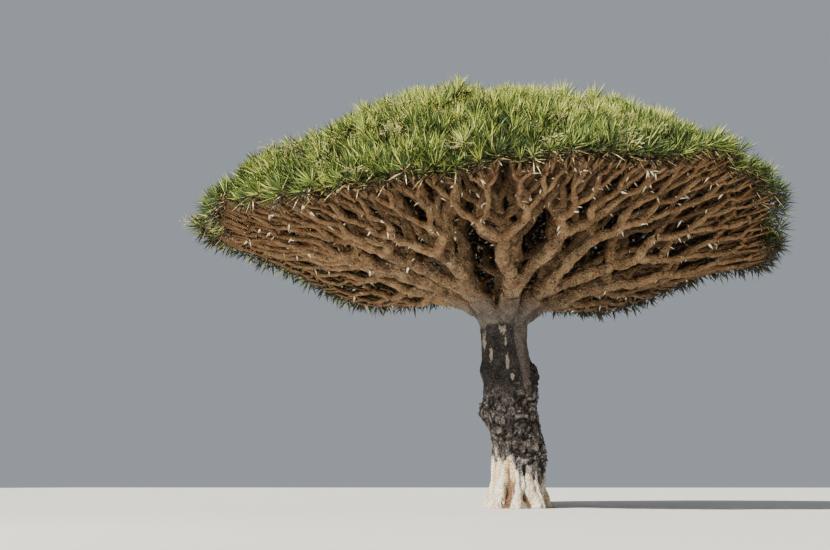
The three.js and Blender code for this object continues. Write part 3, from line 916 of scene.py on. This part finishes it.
def blade_ages_and_shade(tips, share, rank, at_rim, shaded):
    """How dark each blade is: older and painted shade low in its rosette, painted shade between clumps,
    outwards and on the shaded side, and painted light low in the sunny rim's rosettes.
    """
    tone_and_valley_shade = rng.normal(0, ROSETTE_AGE_JITTER, (len(rank), 1))
    # Besides a random tone, painted shade darkens the rosettes between clumps
    tone_and_valley_shade = tone_and_valley_shade + VALLEY_SHADE * (np.array([valley(cell) for cell in tips]) - MEAN_VALLEY)[:, None]
    in_shade = SHADED_SIDE_SHADE + SHADED_RIM_SHADE * at_rim
    sunny_side_shade = SUNNY_OUTER_SHADE * ramp(share, *OUTER_ZONE) + SUNNY_RIM_SHADE * at_rim
    # Painted shade by where the rosette stands
    place = (shaded * in_shade + (1 - shaded) * sunny_side_shade)[:, None]
    # Painted light: low blades of rosettes at the sunny rim stay lighter
    sunny_rim_light = (1 - SUNNY_RIM_LIGHT * at_rim * (1 - shaded))[:, None]
    # Low blades are older and also carry painted shade
    lower = LOWER_AGE_AND_SHADE * rank**LOWER_POWER * sunny_rim_light
    return FIRST_AGE + lower + place + tone_and_valley_shade + rng.normal(0, AGE_JITTER, rank.shape)


def leaf_piece(name, skin, look, colour, *nodes):
    """A piece of blades in one plain colour."""
    piece = mesh_object(name, *skin, smooth=False)
    finish_piece(piece, leaf_material(look, colour), "foliage", *nodes)


def hang_blades(name, colour, at, axis, counts, polar, length, width, droop):
    """Blades below rosettes, with ranges for their angle from its axis, their size and droop."""
    owner = np.repeat(np.arange(len(at)), counts)
    count = len(owner)
    outward = unit(np.cross(axis[owner], rng.normal(size=(count, 3))))
    angle = np.radians(rng.uniform(*polar, count))[:, None]
    direction = axis[owner] * np.cos(angle) + outward * np.sin(angle)
    upper = axis[owner] * np.sin(angle) - outward * np.cos(angle)
    root = at[owner] - axis[owner] * rng.uniform(*HANG_DEPTH, (count, 1)) + outward * HANG_RADIUS
    bend = np.array([0, 0, -1]) * rng.uniform(*droop, (count, 1))
    long = BLADE_LENGTH * rng.uniform(*length, count)
    wide = BLADE_WIDTH * rng.uniform(*width, count)
    leaf_piece(f"leaves_{name}", blade_skin(root, direction, upper, long, wide, bend), name, colour)


def make_leaves(tips):
    """The green blades, dealt out by age to a few plain colours, and the hanging ones."""
    at, axis, share, azimuth = rosette_frames(tips)
    at = at + rng.normal(0, ROSETTE_JITTER, at.shape)
    at_rim, shaded, near = crown_zones(share, azimuth)
    rank, blades = rosette_blades(at, axis, at_rim, near)
    age_and_shade = blade_ages_and_shade(tips, share, rank, at_rim, shaded)
    group = np.clip(np.floor(age_and_shade + 0.5), 0, len(GREENS) - 1).astype(int)
    for i, (name, colour) in enumerate(GREENS):
        skin = blade_skin(*[values[group == i] for values in blades])
        leaf_piece(f"leaves_{name}", skin, name, colour, *MASS_NODES)
    # Real dry leaves, placed mostly on the sunny near rim as painted light
    dry = rng.binomial(DRY_BLADES, DRY_SHARE + DRY_SUNNY_RIM_SHARE * (share > DRY_RIM) * near)
    hang_blades("dry", STRAW, at, axis, dry, *DRY_RANGES)
    # Dead leaves below every rosette, their near-black colour painted shade in the gaps
    shade_thatch = np.full(len(at), THATCH_BLADES)
    hang_blades("shade_thatch", SHADE_THATCH, at, axis, shade_thatch, *THATCH_RANGES)


def make_panicles(tips):
    """Old flower heads: on some rosettes a stalk with a flat, loose cloud of short sprays."""
    at, axis = rosette_frames(tips)[:2]
    chosen = rng.random(len(at)) < PANICLE_SHARE
    at, axis = at[chosen], axis[chosen]
    starts, ends = [], []
    for place, stand in zip(at, axis):
        lean = unit(stand + rng.normal(0, STALK_LEAN, 3))
        top = place + lean * rng.uniform(*STALK_LENGTH)
        away = rng.normal(0, CLOUD_SIZE, (PANICLE_SPRAYS, 3)) * CLOUD_SHAPE
        sprays = unit(away + rng.normal(0, SPRAY_JITTER, away.shape))
        starts += [place, *(top + away)]
        ends += [top, *(top + away + sprays * rng.uniform(*SPRAY_LENGTH, (PANICLE_SPRAYS, 1)))]
    starts, ends = np.array(starts), np.array(ends)
    points = np.stack([starts, ends], 1)
    radius = np.tile(SPRAY_RADII, (len(points), 1))
    across = unit(np.cross(ends - starts, ODD_WAY))[:, None].repeat(2, 1)
    panicles = mesh_object("old_panicles", *tubes(points, radius, across, 3, capped=False))
    finish_piece(panicles, leaf_material("panicle", PANICLE), "foliage")


def make_flecks(limbs):
    """Dead leaves caught among the limbs, below the dome."""
    limbs = [pair for pair in limbs if pair[1].progress < FLECK_PROGRESS]
    chosen = [limbs[i] for i in rng.integers(0, len(limbs), FLECKS)]
    points, radius, across, _ = limb_paths(chosen, FLECK_RINGS)
    row = np.arange(FLECKS)
    ring = rng.integers(0, FLECK_RINGS, FLECKS)
    sideways = unit(rng.normal(size=(FLECKS, 3)) + np.array([0, 0, -FLECK_DOWN]))
    root = points[row, ring] + sideways * radius[row, ring][:, None]
    flat = np.cross(sideways, rng.normal(size=sideways.shape))
    direction = unit(flat + sideways * FLECK_TILT)
    length = rng.uniform(*FLECK_ROOT_LENGTH, FLECKS) ** 2
    width = length * rng.uniform(*FLECK_WIDTH, FLECKS)
    bend = np.array([0, 0, -1]) * rng.uniform(*FLECK_DROOP, (FLECKS, 1))
    skin = blade_skin(root, direction, sideways, length, width, bend)
    leaf_piece("caught_leaves", skin, "caught", FLECK)


# Materials


def leaf_material(name, colour):
    material = bpy.data.materials.new(f"leaf_{name}")
    material.use_nodes = True
    shader = material.node_tree.nodes["Principled BSDF"]
    shader.inputs["Base Color"].default_value = (*colour, 1)
    shader.inputs["Roughness"].default_value = LEAF_ROUGHNESS
    shader.inputs["Specular IOR Level"].default_value = LEAF_SHEEN
    return material


class Nodes:
    """A few short calls for building a material's nodes."""

    def __init__(self, name, roughness):
        self.material = bpy.data.materials.new(name)
        self.material.use_nodes = True
        self.tree = self.material.node_tree
        self.shader = self.tree.nodes["Principled BSDF"]
        self.shader.inputs["Roughness"].default_value = roughness
        self.shader.inputs["Specular IOR Level"].default_value = BARK_SHEEN
        self.place = self.make("ShaderNodeTexCoord").outputs["Object"]

    def make(self, kind, **inputs):
        node = self.tree.nodes.new(kind)
        for key, value in inputs.items():
            self.put(node.inputs[key], value)
        return node

    def put(self, socket, value):
        if isinstance(value, bpy.types.NodeSocket):
            self.tree.links.new(value, socket)
        else:
            socket.default_value = value

    def stretched(self, scale):
        node = self.make("ShaderNodeMapping", Vector=self.place, Scale=scale)
        return node.outputs["Vector"]

    def noise(self, scale, stretch=(1, 1, 1), detail=4.0, rough=0.6, warp=0.0):
        vector = self.stretched(stretch)
        node = self.make("ShaderNodeTexNoise", Vector=vector, Scale=scale, Detail=detail)
        self.put(node.inputs["Roughness"], rough)
        self.put(node.inputs["Distortion"], warp)
        return node.outputs["Fac"]

    def cells(self, scale):
        """Distance from the middle of the nearest of many cells."""
        return self.make("ShaderNodeTexVoronoi", Vector=self.place, Scale=scale).outputs["Distance"]

    def operation(self, kind, name, *values):
        """The outputs of a node that does the named operation on the values."""
        node = self.make(kind)
        node.operation = name
        for socket, value in zip(node.inputs, values):
            self.put(socket, value)
        return node.outputs

    def vector(self, name, *values):
        return self.operation("ShaderNodeVectorMath", name, *values)["Vector"]

    def length(self, vector):
        return self.operation("ShaderNodeVectorMath", "LENGTH", vector)["Value"]

    def plus(self, a, b):
        return self.operation("ShaderNodeMath", "ADD", a, b)[0]

    def times(self, a, b):
        return self.operation("ShaderNodeMath", "MULTIPLY", a, b)[0]

    def larger(self, a, b):
        return self.operation("ShaderNodeMath", "MAXIMUM", a, b)[0]

    def about_zero(self, noise):
        return self.operation("ShaderNodeMath", "SUBTRACT", noise, 0.5)[0]

    def step(self, value, low, high):
        """0 below low, 1 above high, and smooth between them. Low may be the higher one."""
        node = self.make("ShaderNodeMapRange", Value=value)
        node.interpolation_type = "SMOOTHSTEP"
        self.put(node.inputs["From Min"], low)
        self.put(node.inputs["From Max"], high)
        return node.outputs["Result"]

    def patches(self, scale, low, high, **settings):
        """Patches of noise: a step from low to high."""
        return self.step(self.noise(scale, **settings), low, high)

    def mix(self, weight, a, b):
        node = self.make("ShaderNodeMix")
        node.data_type = "RGBA"
        self.put(node.inputs["Factor"], weight)
        for socket, value in ((node.inputs[6], a), (node.inputs[7], b)):
            self.put(socket, (*value, 1) if isinstance(value, tuple) else value)
        return node.outputs[2]

    def tint(self, colour, where, weight, other):
        """A colour with another over it, at most to this weight."""
        return self.mix(self.times(where, weight), colour, other)

    def spot(self, centre, half_width, half_height, ragged):
        """1 within a ragged, upright oval on the front, and 0 outside it."""
        away = self.vector("SUBTRACT", self.place, centre)
        shares = (1 / half_width, SCAR_SHALLOWNESS, 1 / half_height)
        distance = self.length(self.vector("MULTIPLY", away, shares))
        return self.step(self.plus(distance, ragged), *SCAR_EDGE)

    def attribute(self, name):
        node = self.make("ShaderNodeAttribute")
        node.attribute_name = name
        return node.outputs["Fac"]

    def place_parts(self):
        return tuple(self.make("ShaderNodeSeparateXYZ", Vector=self.place).outputs)

    def bump(self, height, distance):
        node = self.make("ShaderNodeBump", Height=height, Strength=1.0, Distance=distance)
        self.put(self.shader.inputs["Normal"], node.outputs["Normal"])

    def colour(self, value):
        self.put(self.shader.inputs["Base Color"], value)


def limb_colour(n):
    """Tan bark with orange and reddish patches, pale flecks and dark hollows."""
    tan = n.patches(4.5, low=0.35, high=0.68, warp=0.6)
    red = n.patches(8.0, low=0.52, high=0.7, detail=5.0, warp=1.2)
    pale = n.patches(38.0, low=0.54, high=0.66, rough=0.8)
    dusk = n.patches(2.1, low=0.5, high=0.66, detail=3.0, warp=0.5)
    cracks = n.patches(30.0, low=0.46, high=0.36, detail=5.0, rough=0.8, warp=0.6)
    holes = n.patches(17.0, low=0.47, high=0.34, detail=6.0, rough=0.7, warp=0.8)
    pits = n.times(n.step(n.cells(11.0), 0.3, 0.16), n.patches(1.7, low=0.5, high=0.58))
    hollow = n.larger(n.larger(holes, pits), cracks)
    colour = n.mix(tan, BROWN_TAN, LIGHT_TAN)
    colour = n.tint(colour, red, 0.75, REDDISH)
    colour = n.tint(colour, dusk, 0.55, DUSKY)
    colour = n.tint(colour, pale, 0.6, PALE_TAN)
    return n.tint(colour, hollow, 0.85, LIMB_HOLLOW)


def wrinkles(n):
    """Fine bark relief for a bump."""
    lumps = n.times(n.cells(32.0), FINE_LUMPS)
    return n.plus(n.noise(24.0, detail=8.0, rough=0.8, warp=0.8), lumps)


def twig_material(name, redness):
    """Bark of the finer limbs, with painted shade deep in the crown, and redder towards their tips."""
    n = Nodes(name, BARK_ROUGHNESS)
    tinted = n.mix(redness, limb_colour(n), TWIG_RED)
    n.colour(n.tint(tinted, n.attribute("depth"), TWIG_SHADE_WEIGHT, TWIG_SHADE))
    n.bump(wrinkles(n), TWIG_BUMP)
    return n.material


def foot_colour(n, relief):
    """Cream wood, partly painted sunlight, with orange-tan streaks and painted shade in its furrows."""
    streaks = n.patches(9.0, low=0.36, high=0.6, stretch=(1, 1, 0.18), detail=5.0, warp=0.4)
    foot = n.mix(streaks, FOOT_TAN, FOOT_CREAM_AND_SUNLIGHT)
    # Painted shade where the relief is low
    return n.mix(n.step(relief, -0.25, -0.7), foot, FOOT_FURROW_SHADE)


def knob_colour(n, relief, blotches):
    """Grey-brown knobs with painted highlights on their rims, curls of pale bark, and painted shade in
    the gaps.
    """
    knobs = n.mix(blotches, KNOB_DARK, KNOB_LIGHT)
    brown = n.patches(5.0, low=0.5, high=0.62, detail=3.0, warp=1.0)
    knobs = n.tint(knobs, brown, 0.45, KNOB_BROWN)
    # Painted highlights on the knobs' rims
    painted_rim_highlights = n.times(n.step(relief, -0.1, 0.1), n.step(relief, 0.5, 0.25))
    painted_rim_highlights = n.times(painted_rim_highlights, n.patches(9.0, low=0.4, high=0.6, detail=3.0))
    curl = n.cells(13.0)
    curls = n.times(n.step(curl, 0.24, 0.3), n.step(curl, 0.46, 0.38))
    curls = n.times(curls, n.patches(6.0, low=0.5, high=0.6))
    knobs = n.mix(n.larger(painted_rim_highlights, curls), knobs, KNOB_HIGHLIGHT_AND_CURL)
    # Painted shade in the gaps between knobs
    return n.mix(n.step(relief, -0.15, -0.5), knobs, KNOB_GAP_SHADE)


def scarred_colour(n, relief, z):
    """The knobs, and above them a blackened face with pale scars."""
    blotches = n.patches(7.0, low=0.36, high=0.66, detail=6.0, rough=0.7)
    burnt = n.mix(blotches, BURNT_DARK, BURNT_LIGHT)
    ragged = n.about_zero(n.noise(11.0, detail=5.0, rough=0.7))
    worn = n.plus(n.times(ragged, SCAR_RAGGEDNESS), SCAR_SHRINK)
    for scar in SCARS:
        burnt = n.mix(n.spot(*scar, worn), burnt, SCAR)
    return n.mix(n.step(n.plus(z, ragged), *BURNT_EDGE), knob_colour(n, relief, blotches), burnt)


def gritty(n, colour):
    """Fine pale and dark grains over a colour."""
    grit = n.noise(40.0, detail=6.0, rough=0.8, warp=0.5)
    colour = n.tint(colour, n.step(grit, 0.53, 0.66), 0.35, PALE_GRIT)
    return n.tint(colour, n.step(grit, 0.47, 0.36), 0.6, DARK_GRIT)


def head_colour(n, z):
    """Grey-tan patches on the neck, and limb bark above them."""
    patches = n.patches(5.0, low=0.38, high=0.62, stretch=(1, 1, 0.6), detail=6.0)
    neck = n.mix(patches, NECK_DARK, NECK_LIGHT)
    return n.mix(n.step(z, *TAN_EDGE), neck, limb_colour(n))


def above_scars(n, x, z, wobble):
    """1 over the scarred middle, beside it on the clean strip, and out along the boughs."""
    uneven_z = n.plus(z, wobble)
    out = n.length(n.stretched((1, 1, 0)))
    outside = n.step(n.plus(out, n.times(z, BOUGH_EDGE_SLOPE)), *BOUGH_EDGE)
    over = n.step(n.plus(z, n.times(wobble, NECK_WOBBLE)), *NECK_EDGE)
    right = n.plus(x, n.times(uneven_z, STRIP_SLOPE))
    strip = n.times(n.step(right, *STRIP_EDGE), n.step(uneven_z, *STRIP_START))
    off_the_burl = n.larger(n.step(x, *BURL_EDGE), n.step(z, *BURL_TOP))
    strip = n.times(strip, off_the_burl)
    return n.larger(n.larger(over, strip), outside)


def wood_material():
    """Cream, furrowed foot, its cream partly painted sunlight; charcoal, scarred middle; grey-tan neck;
    tan boughs; painted shade in the relief's hollows above the foot.
    """
    n = Nodes("scarred_bark", BARK_ROUGHNESS)
    x, _, z = n.place_parts()
    relief = n.attribute("relief")
    ragged = n.noise(2.8, stretch=(1, 1, 0.5), detail=6.0, rough=0.65)
    wobble = n.times(n.about_zero(ragged), WOBBLE)
    low = n.step(n.plus(n.plus(z, wobble), n.times(x, FOOT_TILT)), *FOOT_EDGE)
    colour = n.mix(low, foot_colour(n, relief), scarred_colour(n, relief, z))
    colour = n.mix(above_scars(n, x, z, wobble), colour, head_colour(n, z))
    # Painted shade in the relief's hollows above the foot, on the trunk and boughs
    hollow = n.times(n.step(relief, -0.15, -0.6), n.times(low, TRUNK_SHADE_WEIGHT))
    colour = n.mix(hollow, colour, TRUNK_SHADE)
    n.colour(n.mix(low, colour, gritty(n, colour)))
    n.bump(wrinkles(n), WOOD_BUMP)
    return n.material


# The stage


def light(name, kind, energy, colour, way, **settings):
    """A lamp that shines this way onto the crown."""
    data = bpy.data.lights.new(name, kind)
    data.energy = energy
    data.color = colour
    for key, value in settings.items():
        setattr(data, key, value)
    made = add_object(name, data)
    towards = Vector(way)
    made.location = Vector(LAMP_AIM) - towards.normalized() * LAMP_DISTANCE
    made.rotation_euler = towards.to_track_quat("-Z", "Y").to_euler()


def make_stage():
    """A pale floor, a pale sky, the sun and a soft lamp from the front left."""
    floor = mesh_object("floor", np.array(FLOOR, float), [np.array([[0, 1, 2, 3]])])
    n = Nodes("pale_floor", FLOOR_ROUGHNESS)
    n.colour(n.mix(n.noise(0.6), FLOOR_DARK, FLOOR_LIGHT))
    floor.data.materials.append(n.material)

    world = bpy.data.worlds.new("pale_studio")
    world.use_nodes = True
    world.node_tree.nodes["Background"].inputs["Color"].default_value = (*SKY, 1)
    world.node_tree.nodes["Background"].inputs["Strength"].default_value = SKY_STRENGTH
    bpy.context.scene.world = world

    light("key", "SUN", SUN_STRENGTH, SUN_COLOUR, SUN_WAY, angle=SUN_ANGLE)
    light("under_fill", "AREA", FILL_POWER, FILL_COLOUR, FILL_WAY, size=FILL_SIZE)


def make_camera():
    data = bpy.data.cameras.new("camera")
    data.lens = LENS
    data.sensor_width = SENSOR
    data.clip_end = FARTHEST
    camera = add_object("camera", data)
    camera.location = EYE
    camera.rotation_euler = (math.pi / 2 + TILT, 0, TURN)
    bpy.context.scene.camera = camera


boughs, limbs, tips = crown()
make_trunk(boughs)
make_boughs(boughs, limbs)
make_twigs(limbs)
make_flecks(limbs)
make_leaves(tips)
make_panicles(tips)
make_stage()
make_camera()
